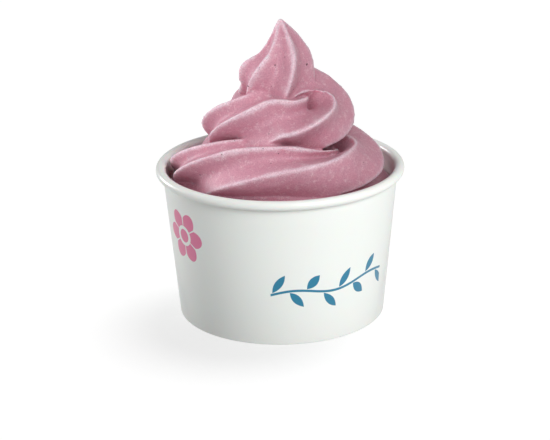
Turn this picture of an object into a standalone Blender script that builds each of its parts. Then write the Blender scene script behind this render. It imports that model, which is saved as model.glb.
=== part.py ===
"""Frozen yogurt in a paper cup, in metres, +Z up, standing on z = 0.

The cup is turned about +Z, and its front is towards -Y. The yogurt is one solid:
a filling that follows the inside of the cup, and on it a rope laid through a star
nozzle, round and round to the right across the front and up to a pointed tip.
"""
import bmesh
import bpy
from math import cos, hypot, pi, radians, sin, tau
from mathutils import Vector

mm = 0.001

# Paper cup
cupHeight = 59.5 * mm
rimRadius = 48.0 * mm          # outside of the rolled rim
rimWidth = 3.8 * mm
rimHeight = 3.6 * mm
footRadius = 40.1 * mm         # outside of the wall, where it stands
wallFlare = 5.2 * mm           # how much wider the wall is under the rim
wallThickness = 0.6 * mm
footThickness = 1.6 * mm       # wall, turned-up edge and skirt of the base together
baseRecess = 6.4 * mm          # underside of the base above the foot
baseThickness = 0.7 * mm
cupSides = 72
sharpAngle = 50.0              # edges bent more than this many degrees look sharp
rimStart = -114.0              # the roll leaves the wall's outside at this angle,
rimEnd = 225.0                 # and comes back to its inside at this one
rimSteps = 12

# Filling
gap = 0.3 * mm                 # between the yogurt and the paper
fillLevel = 50.5 * mm          # at the wall
moundHeight = 7.0 * mm         # it mounds up this much under the tiers
moundSteps = 5

# Rope: where the nozzle was at each station. Turn 0 is at the front, 0.25 at the
# right, 0.5 at the back. Reach is out from the axis, height is of the rope's middle,
# radius is out to its ridges, and twist turns the star about the rope. The tiers press
# on each other: the first ridge is flattened and the second leans to the third and sinks.
ropeStations = (
    # turn, reach mm, height mm, radius mm, twist degrees, mm set back,
    # share flattened, lean degrees, share sunk, depths of the flutes after the second and third
    (-1.25, 24.0, 42.0, 17.0, 0.0, 0.0, 0.0, 0.0, 0.0, 0.3, 0.2),
    (-1.00, 24.0, 43.5, 17.0, 0.0, 0.0, 0.0, 0.0, 0.0, 0.3, 0.2),
    (-0.75, 25.0, 42.0, 17.0, 0.0, 0.0, 0.0, 0.0, 0.0, 0.3, 0.2),
    (-0.50, 27.0, 40.0, 18.0, -6.0, 0.0, 0.0, 0.0, 0.0, 0.3, 0.15),
    (-0.25, 24.0, 57.5, 19.5, -19.0, 0.0, -0.02, 0.0, 0.0, 0.3, 0.1),
    (-0.12, 20.7, 63.0, 19.4, -23.0, 0.0, 0.1, -2.0, 0.0, 0.32, 0.1),
    (0.00, 18.5, 65.0, 19.0, -18.0, 0.0, 0.4, 15.0, 0.08, 0.32, 0.1),
    (0.12, 19.9, 62.1, 18.6, -15.0, 0.0, 0.4, 34.0, 0.36, 0.42, 0.12),
    (0.25, 21.5, 58.5, 18.5, -12.0, 0.0, 0.4, 42.0, 0.45, 0.5, 0.15),
    (0.50, 15.5, 63.5, 20.5, -9.0, 0.0, 0.2, 20.0, 0.2, 0.32, 0.2),
    (0.75, 9.0, 75.0, 22.0, -8.0, 0.0, 0.0, 0.0, 0.0, 0.32, 0.2),
    (1.00, 6.0, 79.3, 20.5, -2.0, 0.0, 0.12, 0.0, 0.0, 0.32, 0.2),
    (1.12, 7.6, 78.8, 19.9, 2.0, 0.0, 0.25, 6.0, 0.2, 0.4, 0.2),
    (1.25, 9.5, 78.5, 19.0, 6.0, 0.0, 0.3, 20.0, 0.62, 0.62, 0.2),
    (1.50, 7.0, 87.0, 17.0, 5.0, -1.2, 0.2, 10.0, 0.4, 0.4, 0.25),
    (1.75, 3.5, 89.0, 12.5, 4.0, 2.0, 0.0, 0.0, 0.0, 0.32, 0.34),
    (1.92, 3.5, 93.0, 15.5, 7.0, 3.0, 0.0, 0.0, 0.0, 0.34, 0.36),
    (2.08, 2.5, 101.5, 11.4, 12.0, 2.5, 0.0, 0.0, 0.0, 0.34, 0.34),
    (2.17, 1.0, 108.9, 6.2, 16.0, 1.5, 0.0, 0.0, 0.0, 0.32, 0.3),
    (2.25, 0.0, 116.2, 0.8, 21.0, 0.0, 0.0, 0.0, 0.0, 0.32, 0.3),
)
ropeAxis = (0.8 * mm, 0.8 * mm)            # the axis that the reach is measured from
ridges = (                                 # of the star: heading from the front, depth of the flute after it
    (-83.0, 0.22), (-49.0, 0.3), (8.0, 0.2), (88.0, 0.3), (147.0, 0.3), (207.0, 0.32),
)
ridgeRounding = 0.17
fluteFullness = 0.80                       # under 1, the flute is broad and its ridges narrow
ropeSquash = 0.67                          # the rope lies lower than it is wide,
squashFrom = 1.50                          # until it is drawn up between these turns
squashTo = 1.90
ringsPerTurn = 32
turnStep = 0.05                            # either way, for reading which way the rope runs
stepsPerFlute = 8
meltSize = 0.7 * mm                        # hollows finer than this run together
skinFaces = 6600                           # triangles kept on the yogurt


def clearScene():
    for item in list(bpy.data.objects):
        bpy.data.objects.remove(item, do_unlink=True)


def makeMaterial(name, color, roughness):
    material = bpy.data.materials.new(name)
    material.use_nodes = True
    shader = material.node_tree.nodes["Principled BSDF"]
    shader.inputs["Base Color"].default_value = (*color, 1.0)
    shader.inputs["Roughness"].default_value = roughness
    shader.inputs["Metallic"].default_value = 0.0
    return material


def makeObject(name, mesh, material):
    item = bpy.data.objects.new(name, mesh)
    bpy.context.collection.objects.link(item)
    mesh.materials.append(material)
    return item


def turned(name, outline, sides):
    """Mesh turned about +Z from (radius, height) points that start and end on the axis."""
    form = bmesh.new()
    chain = [form.verts.new((radius, 0.0, height)) for radius, height in outline]
    links = [form.edges.new(pair) for pair in zip(chain, chain[1:])]
    bmesh.ops.spin(form, geom=chain + links, axis=(0, 0, 1), cent=(0, 0, 0),
                   angle=tau, steps=sides, use_merge=True)
    bmesh.ops.remove_doubles(form, verts=form.verts, dist=0.001 * mm)
    bmesh.ops.recalc_face_normals(form, faces=form.faces)
    mesh = bpy.data.meshes.new(name)
    form.to_mesh(mesh)
    form.free()
    mesh.shade_smooth()
    mesh.set_sharp_from_angle(angle=radians(sharpAngle))
    return mesh


def wallRadius(height):
    """Outside radius of the cup's wall."""
    return footRadius + wallFlare * height / (cupHeight - rimHeight)


def makeCup():
    """Wall with a rolled rim on top and a raised base, all one turned section."""
    floorHeight = baseRecess + baseThickness
    innerFloor = wallRadius(floorHeight) - wallThickness
    outline = [(0.0, baseRecess), (footRadius - footThickness, baseRecess)]
    outline += [(footRadius - footThickness, 0.0), (footRadius, 0.0)]
    for step in range(rimSteps + 1):
        angle = radians(rimStart + (rimEnd - rimStart) * step / rimSteps)
        radius = rimRadius - rimWidth / 2 * (1.0 - cos(angle))
        height = cupHeight - rimHeight / 2 * (1.0 - sin(angle))
        outline.append((radius, height))
    outline += [(innerFloor, floorHeight), (0.0, floorHeight)]
    paper = makeMaterial("paper", (0.80, 0.82, 0.81), 0.45)
    return makeObject("paper_cup", turned("paper_cup", outline, cupSides), paper)


def roomOutline(inset, top):
    """Section of the room in the cup, from the floor up to a height."""
    bottom = baseRecess + baseThickness + gap
    outline = [(0.0, bottom), (wallRadius(bottom) - wallThickness - inset, bottom)]
    outline.append((wallRadius(top) - wallThickness - inset, top))
    return outline


def slopeAt(index, column):
    """How fast a column changes at a station, from the stations beside it."""
    before = ropeStations[max(index - 1, 0)]
    after = ropeStations[min(index + 1, len(ropeStations) - 1)]
    return (after[column] - before[column]) / (after[0] - before[0])


def ropeAt(turn):
    """The stations' values at a turn, on a smooth curve through them."""
    lower = 0
    while lower < len(ropeStations) - 2 and ropeStations[lower + 1][0] <= turn:
        lower += 1
    startRow = ropeStations[lower]
    endRow = ropeStations[lower + 1]
    span = endRow[0] - startRow[0]
    share = (turn - startRow[0]) / span
    values = []
    for column in range(1, len(startRow)):
        change = endRow[column] - startRow[column]
        startSlope = slopeAt(lower, column) * span
        endSlope = slopeAt(lower + 1, column) * span
        bend = 3 * change - 2 * startSlope - endSlope
        curl = startSlope + endSlope - 2 * change
        values.append(startRow[column] + share * (startSlope + share * (bend + share * curl)))
    return values


def ropeMiddle(turn):
    reach, height, _, _, setBack = ropeAt(turn)[:5]
    angle = tau * turn
    right = ropeAxis[0] + reach * mm * sin(angle)
    back = ropeAxis[1] - reach * mm * cos(angle) + setBack * mm
    return Vector((right, back, height * mm))


def starOutline(flattened, lean, sunk, secondFlute, thirdFlute):
    """Headings and radii round the star: rounded ridges with hollow flutes between."""
    points = [[heading, flute, 1.0] for heading, flute in ridges]
    points[0][2] -= flattened
    points[1][0] += lean
    points[1][2] -= sunk
    points[1][1] = secondFlute
    points[2][1] = thirdFlute
    outline = []
    for index, (heading, flute, tall) in enumerate(points):
        following = points[(index + 1) % len(points)]
        width = (following[0] - heading) % 360.0
        for step in range(stepsPerFlute):
            share = step / stepsPerFlute
            hollow = hypot(sin(pi * share), ridgeRounding) - ridgeRounding
            hollow /= hypot(1.0, ridgeRounding) - ridgeRounding
            edge = tall + (following[2] - tall) * share * share * (3.0 - 2.0 * share)
            outline.append((radians(heading + width * share), edge - flute * hollow ** fluteFullness))
    return outline


def ropeRing(turn):
    """The star round one point of the rope. The nozzle keeps its heading as it goes
    round, so the star is only tipped from level until it faces along the rope."""
    _, _, radius, twist, _, *shape = ropeAt(turn)
    middle = ropeMiddle(turn)
    along = ropeMiddle(min(turn + turnStep, ropeStations[-1][0])) - ropeMiddle(turn - turnStep)
    tipping = Vector((0.0, 0.0, 1.0)).rotation_difference(along)
    upright = min(max((turn - squashFrom) / (squashTo - squashFrom), 0.0), 1.0)
    squash = ropeSquash + (1.0 - ropeSquash) * upright * upright * (3.0 - 2.0 * upright)
    ring = []
    for heading, share in starOutline(*shape):
        angle = heading + radians(twist)
        offset = tipping @ Vector((sin(angle), -cos(angle), 0.0)) * share * radius * mm
        offset.z *= squash
        ring.append(middle + offset)
    return ring


def makeRope(form):
    """A closed tube along the rope."""
    first = ropeStations[0][0]
    last = ropeStations[-1][0]
    rings = round((last - first) * ringsPerTurn)
    before = None
    for index in range(rings + 1):
        points = ropeRing(first + (last - first) * index / rings)
        ring = [form.verts.new(point) for point in points]
        if before is None:
            form.faces.new(reversed(ring))
        else:
            for corner in range(len(ring)):
                following = (corner + 1) % len(ring)
                form.faces.new((before[corner], before[following], ring[following], ring[corner]))
        before = ring
    form.faces.new(before)


def keepOuterSkin(form):
    """Drop the pockets shut in between the tiers: only the skin with the tip stays."""
    tip = max(form.verts, key=lambda vert: vert.co.z)
    skin = {tip}
    edge = [tip]
    while edge:
        vert = edge.pop()
        for link in vert.link_edges:
            neighbour = link.other_vert(vert)
            if neighbour not in skin:
                skin.add(neighbour)
                edge.append(neighbour)
    pockets = [vert for vert in form.verts if vert not in skin]
    bmesh.ops.delete(form, geom=pockets, context="VERTS")


def makeYogurt():
    """The filling and the rope, run together into one skin."""
    filling = roomOutline(-wallThickness / 2, fillLevel)
    edge = filling[-1][0]
    for step in range(1, moundSteps + 1):
        share = step / moundSteps
        filling.append((edge * (1.0 - share * share), fillLevel + moundHeight * sin(pi / 2 * share) ** 2))
    fillingMesh = turned("filling", filling, cupSides)
    form = bmesh.new()
    form.from_mesh(fillingMesh)
    bpy.data.meshes.remove(fillingMesh)
    makeRope(form)
    bmesh.ops.recalc_face_normals(form, faces=form.faces)
    mesh = bpy.data.meshes.new("frozen_yogurt")
    form.to_mesh(mesh)
    form.free()
    yogurt = makeObject("frozen_yogurt", mesh, makeMaterial("yogurt", (0.50, 0.24, 0.31), 0.55))

    melt = yogurt.modifiers.new("run together", "REMESH")
    melt.mode = "VOXEL"
    melt.voxel_size = meltSize
    evaluated = yogurt.evaluated_get(bpy.context.evaluated_depsgraph_get())
    form = bmesh.new()
    form.from_mesh(evaluated.to_mesh())
    evaluated.to_mesh_clear()
    yogurt.modifiers.clear()
    keepOuterSkin(form)
    form.to_mesh(mesh)
    form.free()

    soften = yogurt.modifiers.new("soft creases", "SMOOTH")
    soften.iterations = 2
    thin = yogurt.modifiers.new("fewer faces", "DECIMATE")
    thin.ratio = skinFaces / (2 * len(mesh.polygons))
    room = roomOutline(gap, fillLevel)
    room += [(room[-1][0], 3 * cupHeight), (0.0, 3 * cupHeight)]
    cutter = makeObject("room_in_cup", turned("room_in_cup", room, cupSides), mesh.materials[0])
    cutter.hide_render = True
    cutter.display_type = "WIRE"
    trim = yogurt.modifiers.new("clear of the paper", "BOOLEAN")
    trim.operation = "INTERSECT"
    trim.solver = "EXACT"
    trim.object = cutter
    mesh.shade_smooth()
    return yogurt


clearScene()
makeCup()
makeYogurt()
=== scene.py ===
from math import cos, hypot, pi, radians, sin, tau
from random import Random

import bmesh
import bpy
from mathutils import Matrix, Vector, noise
from mathutils.bvhtree import BVHTree


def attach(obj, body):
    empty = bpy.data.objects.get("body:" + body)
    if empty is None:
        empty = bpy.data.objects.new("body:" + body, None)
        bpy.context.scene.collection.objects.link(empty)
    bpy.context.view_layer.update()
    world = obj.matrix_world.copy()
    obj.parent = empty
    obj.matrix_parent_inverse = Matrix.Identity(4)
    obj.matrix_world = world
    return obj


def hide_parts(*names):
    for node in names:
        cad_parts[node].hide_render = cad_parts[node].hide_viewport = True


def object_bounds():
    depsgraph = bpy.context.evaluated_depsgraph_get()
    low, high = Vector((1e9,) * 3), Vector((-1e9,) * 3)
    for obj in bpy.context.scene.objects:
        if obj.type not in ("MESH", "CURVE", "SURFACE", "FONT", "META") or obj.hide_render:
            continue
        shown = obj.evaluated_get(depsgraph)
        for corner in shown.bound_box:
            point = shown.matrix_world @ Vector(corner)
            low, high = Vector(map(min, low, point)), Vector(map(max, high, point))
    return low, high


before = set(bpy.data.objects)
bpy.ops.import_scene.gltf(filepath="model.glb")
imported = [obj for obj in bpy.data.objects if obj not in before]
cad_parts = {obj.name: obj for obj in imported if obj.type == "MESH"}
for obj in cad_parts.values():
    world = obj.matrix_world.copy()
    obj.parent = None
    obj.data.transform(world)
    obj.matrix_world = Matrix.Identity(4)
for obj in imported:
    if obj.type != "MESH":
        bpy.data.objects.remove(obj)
cadLow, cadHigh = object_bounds()
mm = 0.001
mergeDistance = 0.001 * mm

view = {
    "aim": (-2.3 * mm, 0.0, 35.6 * mm),
    "distance": 741.5 * mm,
    "elevation": 19.95,
    "roll": -0.95,
    "lens": 124.3,
}

lamps = {
    # azimuth from the front towards the right, elevation, spread degrees, strength, tint, what it lights
    "cupKey": (36.0, 32.0, 30.0, 2.7, (1.0, 0.995, 0.985), ("cup",)),
    "cupRim": (-128.0, 12.0, 20.0, 1.5, (1.0, 1.0, 1.0), ("cup",)),
    "swirlKey": (48.0, 38.0, 40.0, 1.25, (1.0, 0.995, 0.98), ("yogurt",)),
    "swirlTop": (-35.0, 62.0, 40.0, 0.30, (1.0, 1.0, 1.0), ("yogurt",)),
    "swirlFront": (-12.0, 10.0, 50.0, 1.45, (1.0, 1.0, 1.0), ("yogurt",)),
    "swirlLeft": (-108.0, 14.0, 30.0, 1.75, (1.0, 0.985, 1.0), ("yogurt",)),
    "overhead": (138.0, 66.0, 34.0, 1.7, (1.0, 1.0, 1.0), ("floor",)),
}
skyStrength = 0.33
floorLook = {
    "color": (0.45, 0.45, 0.45),
    "glow": 0.655,               # light given off towards the camera
    "glowOnCup": 0.34,           # and towards the cup
    "roughness": 0.8,
    "width": 800.0 * mm,
    "front": -130.0 * mm,
    "back": 700.0 * mm,
}


def makeCamera():
    data = bpy.data.cameras.new("camera")
    data.lens = view["lens"]
    data.sensor_width = 36.0
    data.clip_start = 0.01
    camera = bpy.data.objects.new("camera", data)
    bpy.context.collection.objects.link(camera)
    facing = Matrix.Rotation(radians(90.0 - view["elevation"]), 4, "X")
    facing = facing @ Matrix.Rotation(radians(view["roll"]), 4, "Z")
    back = facing @ Vector((0.0, 0.0, view["distance"]))
    camera.matrix_world = Matrix.Translation(Vector(view["aim"]) + back) @ facing
    bpy.context.scene.camera = camera
    print("set the camera")


def makeLights(lit):
    # each lamp lights only the pieces named with it; the sky lights all of them
    for name, (azimuth, elevation, spread, strength, tint, labels) in lamps.items():
        data = bpy.data.lights.new(name, "SUN")
        data.energy = strength
        data.angle = radians(spread)
        data.color = tint
        lamp = bpy.data.objects.new(name, data)
        bpy.context.collection.objects.link(lamp)
        side = radians(azimuth)
        up = radians(elevation)
        away = Vector((sin(side) * cos(up), -cos(side) * cos(up), sin(up)))
        lamp.location = away
        lamp.rotation_euler = away.to_track_quat("Z", "Y").to_euler()
        receivers = bpy.data.collections.new(name + "Lights")
        for label in labels:
            for piece in lit[label]:
                receivers.objects.link(piece)
        lamp.light_linking.receiver_collection = receivers
    world = bpy.data.worlds.new("studio")
    world.use_nodes = True
    tree = world.node_tree
    sky = tree.nodes["Background"]
    sky.inputs["Color"].default_value = (1.0, 1.0, 1.0, 1.0)
    rays = tree.nodes.new("ShaderNodeLightPath")
    seen = mapped(tree, rays.outputs["Is Camera Ray"], 0.0, 1.0, skyStrength, 1.0)
    tree.links.new(seen, sky.inputs["Strength"])
    bpy.context.scene.world = world
    bpy.context.scene.view_settings.view_transform = "Standard"
    print("set", len(lamps), "lamps and the sky")


def makeFloor():
    form = bmesh.new()
    depth = floorLook["back"] - floorLook["front"]
    shape = Matrix.Translation((0.0, floorLook["front"] + depth / 2, 0.0))
    shape = shape @ Matrix.Diagonal((floorLook["width"], depth, 1.0, 1.0))
    bmesh.ops.create_grid(form, x_segments=1, y_segments=1, size=0.5, matrix=shape)
    mesh = bpy.data.meshes.new("floor")
    form.to_mesh(mesh)
    form.free()
    floor = bpy.data.objects.new("floor", mesh)
    bpy.context.collection.objects.link(floor)
    material = bpy.data.materials.new("floorPaper")
    material.use_nodes = True
    shader = material.node_tree.nodes["Principled BSDF"]
    shader.inputs["Base Color"].default_value = (*floorLook["color"], 1.0)
    shader.inputs["Roughness"].default_value = floorLook["roughness"]
    shader.inputs["Specular IOR Level"].default_value = 0.0
    shader.inputs["Emission Color"].default_value = (1.0, 1.0, 1.0, 1.0)
    tree = material.node_tree
    rays = tree.nodes.new("ShaderNodeLightPath")
    glow = mapped(tree, rays.outputs["Is Camera Ray"], 0.0, 1.0, floorLook["glowOnCup"], floorLook["glow"])
    tree.links.new(glow, shader.inputs["Emission Strength"])
    mesh.materials.append(material)
    print("laid the floor")
    return floor


def finishPiece(name, form, material):
    mesh = bpy.data.meshes.new(name)
    form.to_mesh(mesh)
    form.free()
    mesh.shade_smooth()
    mesh.materials.append(material)
    piece = bpy.data.objects.new(name, mesh)
    bpy.context.collection.objects.link(piece)
    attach(piece, "root")
    print("made", name, sum(face.loop_total - 2 for face in mesh.polygons), "triangles")
    return piece


def turnProfile(form, outline, sides):
    # the outline's (radius, height) points start and end on the axis
    chain = [form.verts.new((radius, 0.0, height)) for radius, height in outline]
    links = [form.edges.new(pair) for pair in zip(chain, chain[1:])]
    bmesh.ops.spin(form, geom=chain + links, axis=(0, 0, 1), cent=(0, 0, 0),
                   angle=tau, steps=sides, use_merge=True)
    bmesh.ops.remove_doubles(form, verts=form.verts, dist=mergeDistance)
    bmesh.ops.recalc_face_normals(form, faces=form.faces)


def connect(tree, value, socket):
    if isinstance(value, (int, float)):
        socket.default_value = value
    elif isinstance(value, tuple):
        socket.default_value = (*value, 1.0) if socket.type == "RGBA" else value
    else:
        tree.links.new(value, socket)


def calc(tree, operation, first, second=0.0, third=0.0):
    node = tree.nodes.new("ShaderNodeMath")
    node.operation = operation
    for socket, value in zip(node.inputs, (first, second, third)):
        connect(tree, value, socket)
    return node.outputs[0]


def turned(tree, across, up, degrees):
    # the same point on axes turned by so many degrees
    angle = radians(degrees)
    along = calc(tree, "ADD", calc(tree, "MULTIPLY", across, cos(angle)), calc(tree, "MULTIPLY", up, sin(angle)))
    off = calc(tree, "SUBTRACT", calc(tree, "MULTIPLY", up, cos(angle)), calc(tree, "MULTIPLY", across, sin(angle)))
    return along, off


def mapped(tree, value, low, high, newLow=0.0, newHigh=1.0):
    node = tree.nodes.new("ShaderNodeMapRange")
    node.interpolation_type = "SMOOTHSTEP"
    for name, number in (("From Min", low), ("From Max", high), ("To Min", newLow), ("To Max", newHigh)):
        connect(tree, number, node.inputs[name])
    connect(tree, value, node.inputs["Value"])
    return node.outputs["Result"]


def mixed(tree, factor, first, second, blend="MIX"):
    node = tree.nodes.new("ShaderNodeMix")
    node.data_type = "RGBA"
    node.blend_type = blend
    connect(tree, factor, node.inputs[0])
    connect(tree, first, node.inputs[6])
    connect(tree, second, node.inputs[7])
    return node.outputs[2]


def cloudy(tree, place, size, detail=2.0, roughness=0.5):
    node = tree.nodes.new("ShaderNodeTexNoise")
    node.inputs["Scale"].default_value = 1.0 / size
    node.inputs["Detail"].default_value = detail
    node.inputs["Roughness"].default_value = roughness
    tree.links.new(place, node.inputs["Vector"])
    return node.outputs["Fac"]


def newGroup(name, inputs, outputs):
    group = bpy.data.node_groups.new(name, "ShaderNodeTree")
    for label, kind in inputs:
        group.interface.new_socket(label, in_out="INPUT", socket_type=kind)
    for label, kind in outputs:
        group.interface.new_socket(label, in_out="OUTPUT", socket_type=kind)
    start = group.nodes.new("NodeGroupInput")
    end = group.nodes.new("NodeGroupOutput")
    return group, start.outputs, end.inputs


def placeGroup(tree, group, values):
    node = tree.nodes.new("ShaderNodeGroup")
    node.node_tree = group
    for label, value in values.items():
        connect(tree, value, node.inputs[label])
    return node.outputs


def startMaterial(name, settings):
    material = bpy.data.materials.new(name)
    material.use_nodes = True
    tree = material.node_tree
    shader = tree.nodes["Principled BSDF"]
    for label, value in settings.items():
        connect(tree, value, shader.inputs[label])
    return material, tree, shader


def addBump(tree, shader, height, strength, distance):
    bump = tree.nodes.new("ShaderNodeBump")
    bump.inputs["Strength"].default_value = strength
    bump.inputs["Distance"].default_value = distance
    tree.links.new(height, bump.inputs["Height"])
    tree.links.new(bump.outputs["Normal"], shader.inputs["Normal"])


cup = {
    "height": 59.5 * mm,
    "rimRadius": 48.0 * mm,
    "rimWidth": 3.8 * mm,        # of the rolled bead
    "rimHeight": 3.6 * mm,
    "footRadius": 40.1 * mm,
    "wallFlare": 5.2 * mm,       # from the foot to the bead
    "wallThickness": 0.6 * mm,
    "footThickness": 1.6 * mm,
    "baseRecess": 6.4 * mm,
    "baseThickness": 0.7 * mm,
    "edgeRounding": 0.25 * mm,
    "floorCorner": 0.8 * mm,     # where the base meets the wall inside
    "floorCornerLean": 0.02 * mm,
    "rollStart": -114.0,         # degrees round the bead, from outside below to inside below
    "rollEnd": 225.0,
    "rollSteps": 36,
    "sides": 240,
    "sharpAngle": 50.0,
}

paper = {
    "color": (0.86, 0.885, 0.855),
    "roughness": 0.36,
    "coat": 0.25,
    "coatRoughness": 0.18,
    "translucence": 0.12,
    "lightReach": 1.2 * mm,
    "fibreSize": 0.9 * mm,
    "fibreDepth": 0.012 * mm,
    "fibreStrength": 0.5,
    "printRadius": 42.6,         # mm, at which the prints keep their true width
    "pink": (0.78, 0.17, 0.34),
    "teal": (0.008, 0.20, 0.34),
}

# Prints lie flat on the wall, in mm: across is round from the front, up is height.
blossom = {
    "across": -42.5,
    "up": 38.5,
    "size": 10.5,
    "petals": 6,
    "open": 0.34,                # share of the size that the notches between petals cut in
    "gap": (0.10, 0.16),
    "heart": 2.7,
    "ring": 4.1,
    "inkEdge": 0.08,
}
twig = {
    "across": -4.5,
    "up": 21.0,
    "slope": 2.5,
    "length": 51.0,
    "bend": 1.2,
    "wave": 34.0,
    "stem": 0.5,
    "pitch": 6.6,
    "leafLength": 4.0,
    "leafWidth": 1.6,
    "leafLean": 50.0,
    "leafLift": 3.7,
    "stemEdge": 0.06,
    "leafEdge": 0.04,
    "endEdge": 0.1,
}


def wallRadius(height):
    return cup["footRadius"] + cup["wallFlare"] * height / (cup["height"] - cup["rimHeight"])


def cupOutline():
    foot = cup["footRadius"]
    inside = foot - cup["footThickness"]
    soft = cup["edgeRounding"]
    top = cup["baseRecess"] + cup["baseThickness"]
    outline = [(0.0, cup["baseRecess"]), (inside - soft, cup["baseRecess"]), (inside, cup["baseRecess"] - soft)]
    outline += [(inside, soft), (inside + soft, 0.0), (foot - soft, 0.0), (foot, soft)]
    for step in range(cup["rollSteps"] + 1):
        angle = radians(cup["rollStart"] + (cup["rollEnd"] - cup["rollStart"]) * step / cup["rollSteps"])
        radius = cup["rimRadius"] - cup["rimWidth"] / 2 * (1.0 - cos(angle))
        outline.append((radius, cup["height"] - cup["rimHeight"] / 2 * (1.0 - sin(angle))))
    floorEdge = wallRadius(top) - cup["wallThickness"]
    corner = cup["floorCorner"]
    outline += [(floorEdge + cup["floorCornerLean"], top + corner), (floorEdge - corner, top), (0.0, top)]
    return outline


def blossomGroup():
    # petals round a ring, 1 where there is ink
    sockets = (("Across", "NodeSocketFloat"), ("Up", "NodeSocketFloat"))
    group, start, end = newGroup("blossom", sockets, (("Ink", "NodeSocketFloat"),))
    across = calc(group, "SUBTRACT", start["Across"], blossom["across"])
    up = calc(group, "SUBTRACT", start["Up"], blossom["up"])
    squares = calc(group, "ADD", calc(group, "MULTIPLY", across, across), calc(group, "MULTIPLY", up, up))
    out = calc(group, "SQRT", squares)
    turn = calc(group, "MULTIPLY", calc(group, "ARCTAN2", up, across), float(blossom["petals"]))
    wave = calc(group, "ABSOLUTE", calc(group, "COSINE", calc(group, "MULTIPLY", turn, 0.5)))
    reach = calc(group, "MULTIPLY_ADD", wave, blossom["open"], 1.0 - blossom["open"])
    edge = calc(group, "MULTIPLY", reach, blossom["size"])
    soft = blossom["inkEdge"]
    petals = mapped(group, calc(group, "SUBTRACT", edge, out), -soft, soft)
    hole = mapped(group, out, blossom["ring"] - soft, blossom["ring"] + soft)
    heart = mapped(group, out, blossom["heart"] + soft, blossom["heart"] - soft)
    gaps = mapped(group, wave, *blossom["gap"])
    ink = calc(group, "MAXIMUM", calc(group, "MULTIPLY", petals, hole), heart)
    ink = calc(group, "MULTIPLY", ink, calc(group, "MAXIMUM", heart, gaps))
    group.links.new(ink, end["Ink"])
    return group


def twigGroup():
    # a wavy stem with a leaf at each pitch, above and below by turns
    sockets = (("Across", "NodeSocketFloat"), ("Up", "NodeSocketFloat"))
    group, start, end = newGroup("twig", sockets, (("Ink", "NodeSocketFloat"),))
    across = calc(group, "SUBTRACT", start["Across"], twig["across"])
    up = calc(group, "SUBTRACT", start["Up"], twig["up"])
    along, off = turned(group, across, up, twig["slope"])
    wave = calc(group, "SINE", calc(group, "MULTIPLY", along, tau / twig["wave"]))
    off = calc(group, "SUBTRACT", off, calc(group, "MULTIPLY", wave, twig["bend"]))
    soft = twig["stemEdge"]
    stem = mapped(group, calc(group, "ABSOLUTE", off), twig["stem"] + soft, twig["stem"] - soft)

    # each leaf is the lens where two parabolas meet, leaning along the stem
    pitch = twig["pitch"]
    second = calc(group, "GREATER_THAN", calc(group, "FLOORED_MODULO", along, 2.0 * pitch), pitch)
    side = calc(group, "MULTIPLY_ADD", second, -2.0, 1.0)
    local = calc(group, "SUBTRACT", calc(group, "FLOORED_MODULO", along, pitch), 0.5 * pitch)
    lift = calc(group, "SUBTRACT", calc(group, "MULTIPLY", off, side), twig["leafLift"])
    longWay, wideWay = turned(group, local, lift, twig["leafLean"])
    longShare = calc(group, "DIVIDE", longWay, twig["leafLength"])
    wideShare = calc(group, "ABSOLUTE", calc(group, "DIVIDE", wideWay, twig["leafWidth"]))
    leafEdge = calc(group, "SUBTRACT", 1.0, calc(group, "MULTIPLY", longShare, longShare))
    leaf = mapped(group, calc(group, "SUBTRACT", leafEdge, wideShare), -twig["leafEdge"], twig["leafEdge"])

    soft = twig["endEdge"]
    started = mapped(group, along, -soft, soft)
    unfinished = mapped(group, along, twig["length"] + soft, twig["length"] - soft)
    ink = calc(group, "MULTIPLY", calc(group, "MAXIMUM", stem, leaf), calc(group, "MULTIPLY", started, unfinished))
    group.links.new(ink, end["Ink"])
    return group


def paperMaterial():
    settings = {
        "Roughness": paper["roughness"],
        "Metallic": 0.0,
        "Coat Weight": paper["coat"],
        "Coat Roughness": paper["coatRoughness"],
        "Subsurface Weight": paper["translucence"],
        "Subsurface Scale": paper["lightReach"],
    }
    material, tree, shader = startMaterial("coatedPaper", settings)
    place = tree.nodes.new("ShaderNodeTexCoord").outputs["Object"]
    split = tree.nodes.new("ShaderNodeSeparateXYZ")
    tree.links.new(place, split.inputs[0])
    x, y, z = split.outputs
    heading = calc(tree, "ARCTAN2", x, calc(tree, "MULTIPLY", y, -1.0))
    across = calc(tree, "MULTIPLY", heading, paper["printRadius"])
    up = calc(tree, "MULTIPLY", z, 1.0 / mm)
    squares = calc(tree, "ADD", calc(tree, "MULTIPLY", x, x), calc(tree, "MULTIPLY", y, y))
    outside = calc(tree, "GREATER_THAN", squares, (cup["footRadius"] - 0.1 * mm) ** 2)
    pinkInk = placeGroup(tree, blossomGroup(), {"Across": across, "Up": up})["Ink"]
    tealInk = placeGroup(tree, twigGroup(), {"Across": across, "Up": up})["Ink"]
    color = mixed(tree, calc(tree, "MULTIPLY", pinkInk, outside), paper["color"], paper["pink"])
    color = mixed(tree, calc(tree, "MULTIPLY", tealInk, outside), color, paper["teal"])
    tree.links.new(color, shader.inputs["Base Color"])
    fibres = cloudy(tree, place, paper["fibreSize"], 4.0, 0.6)
    addBump(tree, shader, fibres, paper["fibreStrength"], paper["fibreDepth"])
    return material


def makeCup():
    form = bmesh.new()
    turnProfile(form, cupOutline(), cup["sides"])
    piece = finishPiece("cup", form, paperMaterial())
    piece.data.set_sharp_from_angle(angle=radians(cup["sharpAngle"]))
    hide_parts("paper_cup")
    return piece


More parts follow.
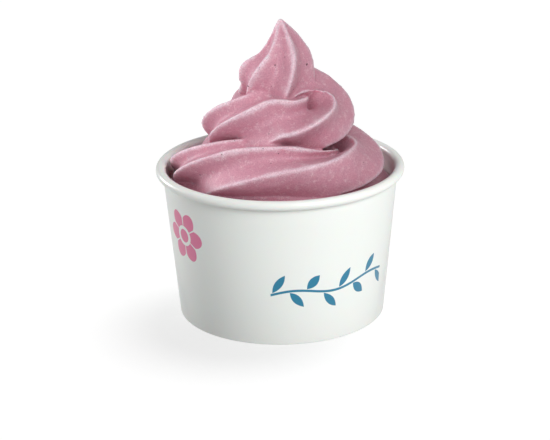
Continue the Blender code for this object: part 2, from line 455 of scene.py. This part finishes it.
# Where the nozzle was as it laid the rope. Turn 0 is at the front, 0.25 at the right.
swirl = {
    "stations": (
        # turn, reach mm, height mm, radius mm, twist degrees, mm set back,
        # share that the first ridge is flattened, degrees that the second leans to the third,
        # share that the second is sunk, depths of the flutes after the second and the third
        (-1.25, 24.0, 42.0, 17.0, 0.0, 0.0, 0.0, 0.0, 0.0, 0.3, 0.2),
        (-1.00, 24.0, 43.5, 17.0, 0.0, 0.0, 0.0, 0.0, 0.0, 0.3, 0.2),
        (-0.75, 25.0, 42.0, 17.0, 0.0, 0.0, 0.0, 0.0, 0.0, 0.3, 0.2),
        (-0.50, 27.0, 40.0, 18.0, -6.0, 0.0, 0.0, 0.0, 0.0, 0.3, 0.15),
        (-0.25, 24.0, 57.5, 19.5, -19.0, 0.0, -0.02, 0.0, 0.0, 0.3, 0.1),
        (-0.12, 20.7, 63.0, 19.4, -23.0, 0.0, 0.1, -2.0, 0.0, 0.32, 0.1),
        (0.00, 18.5, 65.0, 19.0, -18.0, 0.0, 0.4, 15.0, 0.08, 0.32, 0.1),
        (0.12, 19.9, 62.1, 18.6, -15.0, 0.0, 0.4, 34.0, 0.36, 0.42, 0.12),
        (0.25, 21.5, 58.5, 18.5, -12.0, 0.0, 0.4, 42.0, 0.45, 0.5, 0.15),
        (0.50, 15.5, 63.5, 20.5, -9.0, 0.0, 0.2, 20.0, 0.2, 0.32, 0.2),
        (0.75, 9.0, 75.0, 22.0, -8.0, 0.0, 0.0, 0.0, 0.0, 0.32, 0.2),
        (1.00, 6.0, 79.3, 20.5, -2.0, 0.0, 0.12, 0.0, 0.0, 0.32, 0.2),
        (1.12, 7.6, 78.8, 19.9, 2.0, 0.0, 0.25, 6.0, 0.2, 0.4, 0.2),
        (1.25, 9.5, 78.5, 19.0, 6.0, 0.0, 0.3, 20.0, 0.62, 0.62, 0.2),
        (1.50, 7.0, 87.0, 17.0, 5.0, -1.2, 0.2, 10.0, 0.4, 0.4, 0.25),
        (1.75, 3.5, 89.0, 12.5, 4.0, 2.0, 0.0, 0.0, 0.0, 0.32, 0.34),
        (1.92, 3.5, 93.0, 15.5, 7.0, 3.0, 0.0, 0.0, 0.0, 0.34, 0.36),
        (2.08, 2.5, 101.5, 11.4, 12.0, 2.5, 0.0, 0.0, 0.0, 0.34, 0.34),
        (2.17, 1.0, 108.9, 6.2, 16.0, 1.5, 0.0, 0.0, 0.0, 0.32, 0.3),
        (2.25, 0.0, 115.8, 0.8, 21.0, 0.0, 0.0, 0.0, 0.0, 0.32, 0.3),
    ),
    "axis": (0.8 * mm, 0.8 * mm),
    # heading of each of the nozzle's points, and depth of the flute after it
    "ridges": ((-83.0, 0.22), (-49.0, 0.3), (8.0, 0.2), (88.0, 0.3), (147.0, 0.3), (207.0, 0.32)),
    "ridgeRounding": 0.14,
    "fluteFullness": 0.80,
    "squash": 0.67,              # a lying rope is lower than it is wide
    "squashFrom": 1.50,
    "squashTo": 1.90,
    "turnStep": 0.05,            # either way, for reading which way the rope runs
    "ringsPerTurn": 72,
    "stepsPerFlute": 16,
}

filling = {
    "level": 50.5 * mm,          # at the wall
    "mound": 7.0 * mm,
    "moundSteps": 10,
    "gap": 0.3 * mm,             # between the yogurt and the paper
    "hiddenBelow": 48.0 * mm,
    "overlap": 3.0 * mm,         # kept below that until the base is closed
    "sides": 160,
}

skin = {
    "melt": 0.55 * mm,           # hollows finer than this run together
    "softening": 5,
    "ridgeSpread": 30,           # steps of softening that the ridges are read against
    "ridgeSoftening": 0.8,
    "ridgeHeight": 0.35 * mm,    # stands for a full ridge
    # size mm, depth mm
    "sag": (12.0, 0.35),
    "lumps": (3.6, 0.10),
    "grain": (1.3, 0.04),
}

yogurt = {
    "flute": (0.60, 0.29, 0.365),
    # paler along the ridges: partly their own tone, partly painted highlight
    "ridge": (0.72, 0.555, 0.62),
    # pale: painted highlight on the sharpest ridges, and also the colour of the pale foam
    "foamAndHighlight": (0.88, 0.80, 0.83),
    "ridgeRange": (0.48, 0.98),
    "highlightRange": (1.05, 1.6),
    "foamSize": 2.2 * mm,
    "foamShare": 0.30,
    "blotch": (0.50, 0.21, 0.29),
    "blotchSize": 7.0 * mm,
    "blotchShare": 0.22,
    # dark: painted shade in the hollows of the fine grain
    "hollow": (0.40, 0.16, 0.23),
    "pitShadeShare": 0.5,
    "grainSize": 0.55 * mm,
    "grainDepth": 0.16 * mm,
    "grainStrength": 0.6,
    "roughness": 0.50,
    "translucence": 0.5,
    "lightReach": 3.0 * mm,
    "lightReachByColor": (1.0, 0.45, 0.55),
}


def slopeAt(rows, index, column):
    before = rows[max(index - 1, 0)]
    after = rows[min(index + 1, len(rows) - 1)]
    return (after[column] - before[column]) / (after[0] - before[0])


def ropeAt(turn):
    # what the stations hold, on a smooth curve through them
    rows = swirl["stations"]
    lower = 0
    while lower < len(rows) - 2 and rows[lower + 1][0] <= turn:
        lower += 1
    start, end = rows[lower], rows[lower + 1]
    span = end[0] - start[0]
    share = (turn - start[0]) / span
    values = []
    for column in range(1, len(start)):
        change = end[column] - start[column]
        startSlope = slopeAt(rows, lower, column) * span
        endSlope = slopeAt(rows, lower + 1, column) * span
        bend = 3 * change - 2 * startSlope - endSlope
        curl = startSlope + endSlope - 2 * change
        values.append(start[column] + share * (startSlope + share * (bend + share * curl)))
    return values


def ropeMiddle(turn):
    reach, height, _, _, setBack = ropeAt(turn)[:5]
    angle = tau * turn
    right = swirl["axis"][0] + reach * mm * sin(angle)
    back = swirl["axis"][1] - reach * mm * cos(angle) + setBack * mm
    return Vector((right, back, height * mm))


def starOutline(flattened, lean, sunk, secondFlute, thirdFlute):
    # heading and share of the radius round the star
    ridges = [[heading, flute, 1.0] for heading, flute in swirl["ridges"]]
    ridges[1][1] = secondFlute
    ridges[2][1] = thirdFlute
    ridges[0][2] -= flattened
    ridges[1][0] += lean
    ridges[1][2] -= sunk
    outline = []
    rounding = swirl["ridgeRounding"]
    for index, (heading, flute, tall) in enumerate(ridges):
        following = ridges[(index + 1) % len(ridges)]
        width = (following[0] - heading) % 360.0
        for step in range(swirl["stepsPerFlute"]):
            share = step / swirl["stepsPerFlute"]
            hollow = (hypot(sin(pi * share), rounding) - rounding) / (hypot(1.0, rounding) - rounding)
            edge = tall + (following[2] - tall) * share * share * (3.0 - 2.0 * share)
            outline.append((radians(heading + width * share), edge - flute * hollow ** swirl["fluteFullness"]))
    return outline


def ropeRing(turn):
    # the nozzle keeps its heading as it goes round, only tipped to face along the rope
    _, _, radius, twist, _, *shape = ropeAt(turn)
    middle = ropeMiddle(turn)
    nearby = swirl["turnStep"]
    along = ropeMiddle(min(turn + nearby, swirl["stations"][-1][0])) - ropeMiddle(turn - nearby)
    tipping = Vector((0.0, 0.0, 1.0)).rotation_difference(along)
    upright = min(max((turn - swirl["squashFrom"]) / (swirl["squashTo"] - swirl["squashFrom"]), 0.0), 1.0)
    squash = swirl["squash"] + (1.0 - swirl["squash"]) * upright * upright * (3.0 - 2.0 * upright)
    ring = []
    for heading, share in starOutline(*shape):
        angle = heading + radians(twist)
        offset = tipping @ Vector((sin(angle), -cos(angle), 0.0)) * share * radius * mm
        offset.z *= squash
        ring.append(middle + offset)
    return ring


def makeRope(form):
    # a grid bent into a closed tube
    first = swirl["stations"][0][0]
    last = swirl["stations"][-1][0]
    count = round((last - first) * swirl["ringsPerTurn"])
    rings = [ropeRing(first + (last - first) * index / count) for index in range(count + 1)]
    sides = len(rings[0])
    grid = bmesh.ops.create_grid(form, x_segments=count, y_segments=sides, size=0.5)
    for vert in grid["verts"]:
        vert.co = rings[round((vert.co.x + 0.5) * count)][round((vert.co.y + 0.5) * sides) % sides]
    bmesh.ops.remove_doubles(form, verts=form.verts, dist=mergeDistance)
    bmesh.ops.holes_fill(form, edges=[edge for edge in form.edges if edge.is_boundary])
    bmesh.ops.recalc_face_normals(form, faces=form.faces)


def fillingOutline():
    level = filling["level"]
    edge = wallRadius(level) - cup["wallThickness"] - filling["gap"]
    bottom = filling["hiddenBelow"] - filling["overlap"]
    outline = [(0.0, bottom), (wallRadius(bottom) - cup["wallThickness"] - filling["gap"], bottom), (edge, level)]
    for step in range(1, filling["moundSteps"] + 1):
        share = step / filling["moundSteps"]
        outline.append((edge * (1.0 - share * share), level + filling["mound"] * sin(pi / 2 * share) ** 2))
    return outline


def applyModifiers(form, name, *modifiers):
    # runs a form through modifiers, each one a kind and its settings
    mesh = bpy.data.meshes.new(name)
    form.to_mesh(mesh)
    form.free()
    work = bpy.data.objects.new(name, mesh)
    bpy.context.collection.objects.link(work)
    for kind, settings in modifiers:
        modifier = work.modifiers.new(kind.lower(), kind)
        for key, value in settings.items():
            setattr(modifier, key, value)
    evaluated = work.evaluated_get(bpy.context.evaluated_depsgraph_get())
    form = bmesh.new()
    form.from_mesh(evaluated.to_mesh())
    evaluated.to_mesh_clear()
    bpy.data.objects.remove(work)
    bpy.data.meshes.remove(mesh)
    return form


def keepOuterSkin(form):
    # drop the pockets shut in between the tiers: only the skin with the tip stays
    tip = max(form.verts, key=lambda vert: vert.co.z)
    outer = {tip}
    edge = [tip]
    while edge:
        for link in edge.pop().link_edges:
            for neighbour in link.verts:
                if neighbour not in outer:
                    outer.add(neighbour)
                    edge.append(neighbour)
    bmesh.ops.delete(form, geom=[vert for vert in form.verts if vert not in outer], context="VERTS")


def closeBelow(form):
    # under the yogurt's edge nothing shows, so there a plain skirt and a flat base do
    height = filling["hiddenBelow"]
    bmesh.ops.bisect_plane(form, geom=form.verts[:] + form.edges[:] + form.faces[:], dist=0.0001 * mm,
                           plane_co=(0, 0, height), plane_no=(0, 0, 1), clear_inner=True)
    edges = [edge for edge in form.edges if edge.is_boundary]
    made = bmesh.ops.extrude_edge_only(form, edges=edges)["geom"]
    bottom = cup["baseRecess"] + cup["baseThickness"] + filling["gap"]
    inset = cup["wallThickness"] + filling["gap"]
    narrowing = (wallRadius(bottom) - inset) / (wallRadius(height) - inset)
    for vert in (item for item in made if isinstance(item, bmesh.types.BMVert)):
        vert.co = (vert.co.x * narrowing, vert.co.y * narrowing, bottom)
    bmesh.ops.holes_fill(form, edges=[edge for edge in form.edges if edge.is_boundary])
    bmesh.ops.recalc_face_normals(form, faces=form.faces)


def roughen(form):
    form.normal_update()
    for vert in form.verts:
        spot = vert.co / mm
        push = 0.0
        for index, name in enumerate(("sag", "lumps", "grain")):
            size, depth = skin[name]
            push += noise.noise(spot / size + Vector((17.0 * index, 5.0, 3.0))) * depth
        vert.co += vert.normal * push * mm


def markRidges(form):
    # above 0.5 where the skin stands out from a softened copy of itself, below where it is hollow
    softening = {"iterations": skin["ridgeSpread"], "factor": skin["ridgeSoftening"]}
    soft = applyModifiers(form.copy(), "yogurtSoft", ("SMOOTH", softening))
    # the yogurt's material pales the ridges by this, partly as painted highlight
    layer = form.verts.layers.float.new("ridge")
    form.normal_update()
    for vert, softVert in zip(form.verts, soft.verts):
        vert[layer] = 0.5 + 0.5 * (vert.co - softVert.co).dot(vert.normal) / skin["ridgeHeight"]
    soft.free()


def keepInCup(form):
    # nothing reaches the paper, and the tip keeps its height
    for vert in form.verts:
        if vert.co.z < cup["height"]:
            limit = wallRadius(vert.co.z) - cup["wallThickness"] - filling["gap"] * 0.5
            out = hypot(vert.co.x, vert.co.y)
            if out > limit:
                vert.co.x *= limit / out
                vert.co.y *= limit / out
        vert.co.z = min(vert.co.z, cadHigh.z)


def yogurtMaterial():
    settings = {
        "Roughness": yogurt["roughness"],
        "Metallic": 0.0,
        "Subsurface Weight": yogurt["translucence"],
        "Subsurface Radius": yogurt["lightReachByColor"],
        "Subsurface Scale": yogurt["lightReach"],
    }
    material, tree, shader = startMaterial("frozenYogurt", settings)
    place = tree.nodes.new("ShaderNodeTexCoord").outputs["Object"]
    ridge = tree.nodes.new("ShaderNodeAttribute")
    ridge.attribute_name = "ridge"
    raised = ridge.outputs["Fac"]

    # paler along the ridges, partly their own tone and partly painted highlight, with a painted highlight on the
    # sharpest
    color = mixed(tree, mapped(tree, raised, *yogurt["ridgeRange"]), yogurt["flute"], yogurt["ridge"])
    color = mixed(tree, mapped(tree, raised, *yogurt["highlightRange"]), color, yogurt["foamAndHighlight"])

    # deeper pink clouds, pale foam, and painted shade in the hollows of the tiny bubbles
    blotch = mapped(tree, cloudy(tree, place, yogurt["blotchSize"], 3.0), 0.3, 0.7, 0.0, 1.0)
    color = mixed(tree, calc(tree, "MULTIPLY", blotch, yogurt["blotchShare"]), color, yogurt["blotch"])
    foam = cloudy(tree, place, yogurt["foamSize"], 5.0, 0.7)
    color = mixed(tree, mapped(tree, foam, 0.50, 0.72, 0.0, yogurt["foamShare"]), color, yogurt["foamAndHighlight"])
    bubbles = cloudy(tree, place, yogurt["grainSize"], 4.0, 0.65)
    color = mixed(tree, mapped(tree, bubbles, 0.62, 0.30, 0.0, yogurt["pitShadeShare"]), color, yogurt["hollow"])
    tree.links.new(color, shader.inputs["Base Color"])
    addBump(tree, shader, bubbles, yogurt["grainStrength"], yogurt["grainDepth"])
    return material


def makeYogurt():
    form = bmesh.new()
    makeRope(form)
    turnProfile(form, fillingOutline(), filling["sides"])
    form = applyModifiers(form, "yogurtRaw", ("REMESH", {"mode": "VOXEL", "voxel_size": skin["melt"]}))
    keepOuterSkin(form)
    form = applyModifiers(form, "yogurtSmooth", ("SMOOTH", {"iterations": skin["softening"]}))
    roughen(form)
    markRidges(form)
    closeBelow(form)
    keepInCup(form)
    skinTree = BVHTree.FromBMesh(form)
    piece = finishPiece("yogurt", form, yogurtMaterial())
    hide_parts("frozen_yogurt")
    return piece, skinTree


specks = {
    "count": 46,
    "smallest": 0.12 * mm,
    "largest": 0.42 * mm,
    "fineness": 2.5,             # above 1, most are small
    "width": (0.5, 0.9),         # shares of the length
    "thickness": 0.3,
    "lowest": 58.0 * mm,
    "highest": 108.0 * mm,
    "color": (0.045, 0.006, 0.02),
    "roughness": 0.45,
    # heading degrees, height mm, size mm of the larger ones
    "large": (
        (85.0, 98.4, 0.55),
        (-9.6, 100.2, 0.34),
        (-39.9, 71.2, 0.32),
        (-12.5, 74.0, 0.30),
        (-1.2, 71.8, 0.34),
        (-6.6, 68.6, 0.28),
        (-60.7, 60.4, 0.34),
    ),
}


def addSpeck(form, skinTree, random, heading, height, size):
    # found by looking in from outside, and laid flat on the skin
    away = Vector((sin(heading), -cos(heading), 0.0))
    spot, normal, _, _ = skinTree.ray_cast(away * 2.0 * cup["rimRadius"] + Vector((0.0, 0.0, height)), -away)
    if spot is None:
        return 0
    facing = normal.to_track_quat("Z", "Y").to_matrix().to_4x4()
    flat = Matrix.Diagonal((size, size * random.uniform(*specks["width"]), size * specks["thickness"], 1.0))
    spin = Matrix.Rotation(random.uniform(0.0, tau), 4, "Z")
    bmesh.ops.create_icosphere(form, subdivisions=1, radius=1.0,
                               matrix=Matrix.Translation(spot) @ facing @ spin @ flat)
    return 1


def makeSpecks(skinTree):
    random = Random(7)
    form = bmesh.new()
    for heading, height, size in specks["large"]:
        addSpeck(form, skinTree, random, radians(heading), height * mm, size * mm)
    placed = 0
    while placed < specks["count"]:
        share = random.random() ** specks["fineness"]
        size = specks["smallest"] + (specks["largest"] - specks["smallest"]) * share
        heading = random.uniform(0.0, tau)
        height = random.uniform(specks["lowest"], specks["highest"])
        placed += addSpeck(form, skinTree, random, heading, height, size)
    settings = {"Base Color": specks["color"], "Roughness": specks["roughness"], "Metallic": 0.0}
    return finishPiece("fruitSpecks", form, startMaterial("fruitSpeck", settings)[0])


makeCamera()
floor = makeFloor()
paperCup = makeCup()
frozenYogurt, skinTree = makeYogurt()
fruitSpecks = makeSpecks(skinTree)
makeLights({"floor": [floor], "cup": [paperCup], "yogurt": [frozenYogurt, fruitSpecks]})
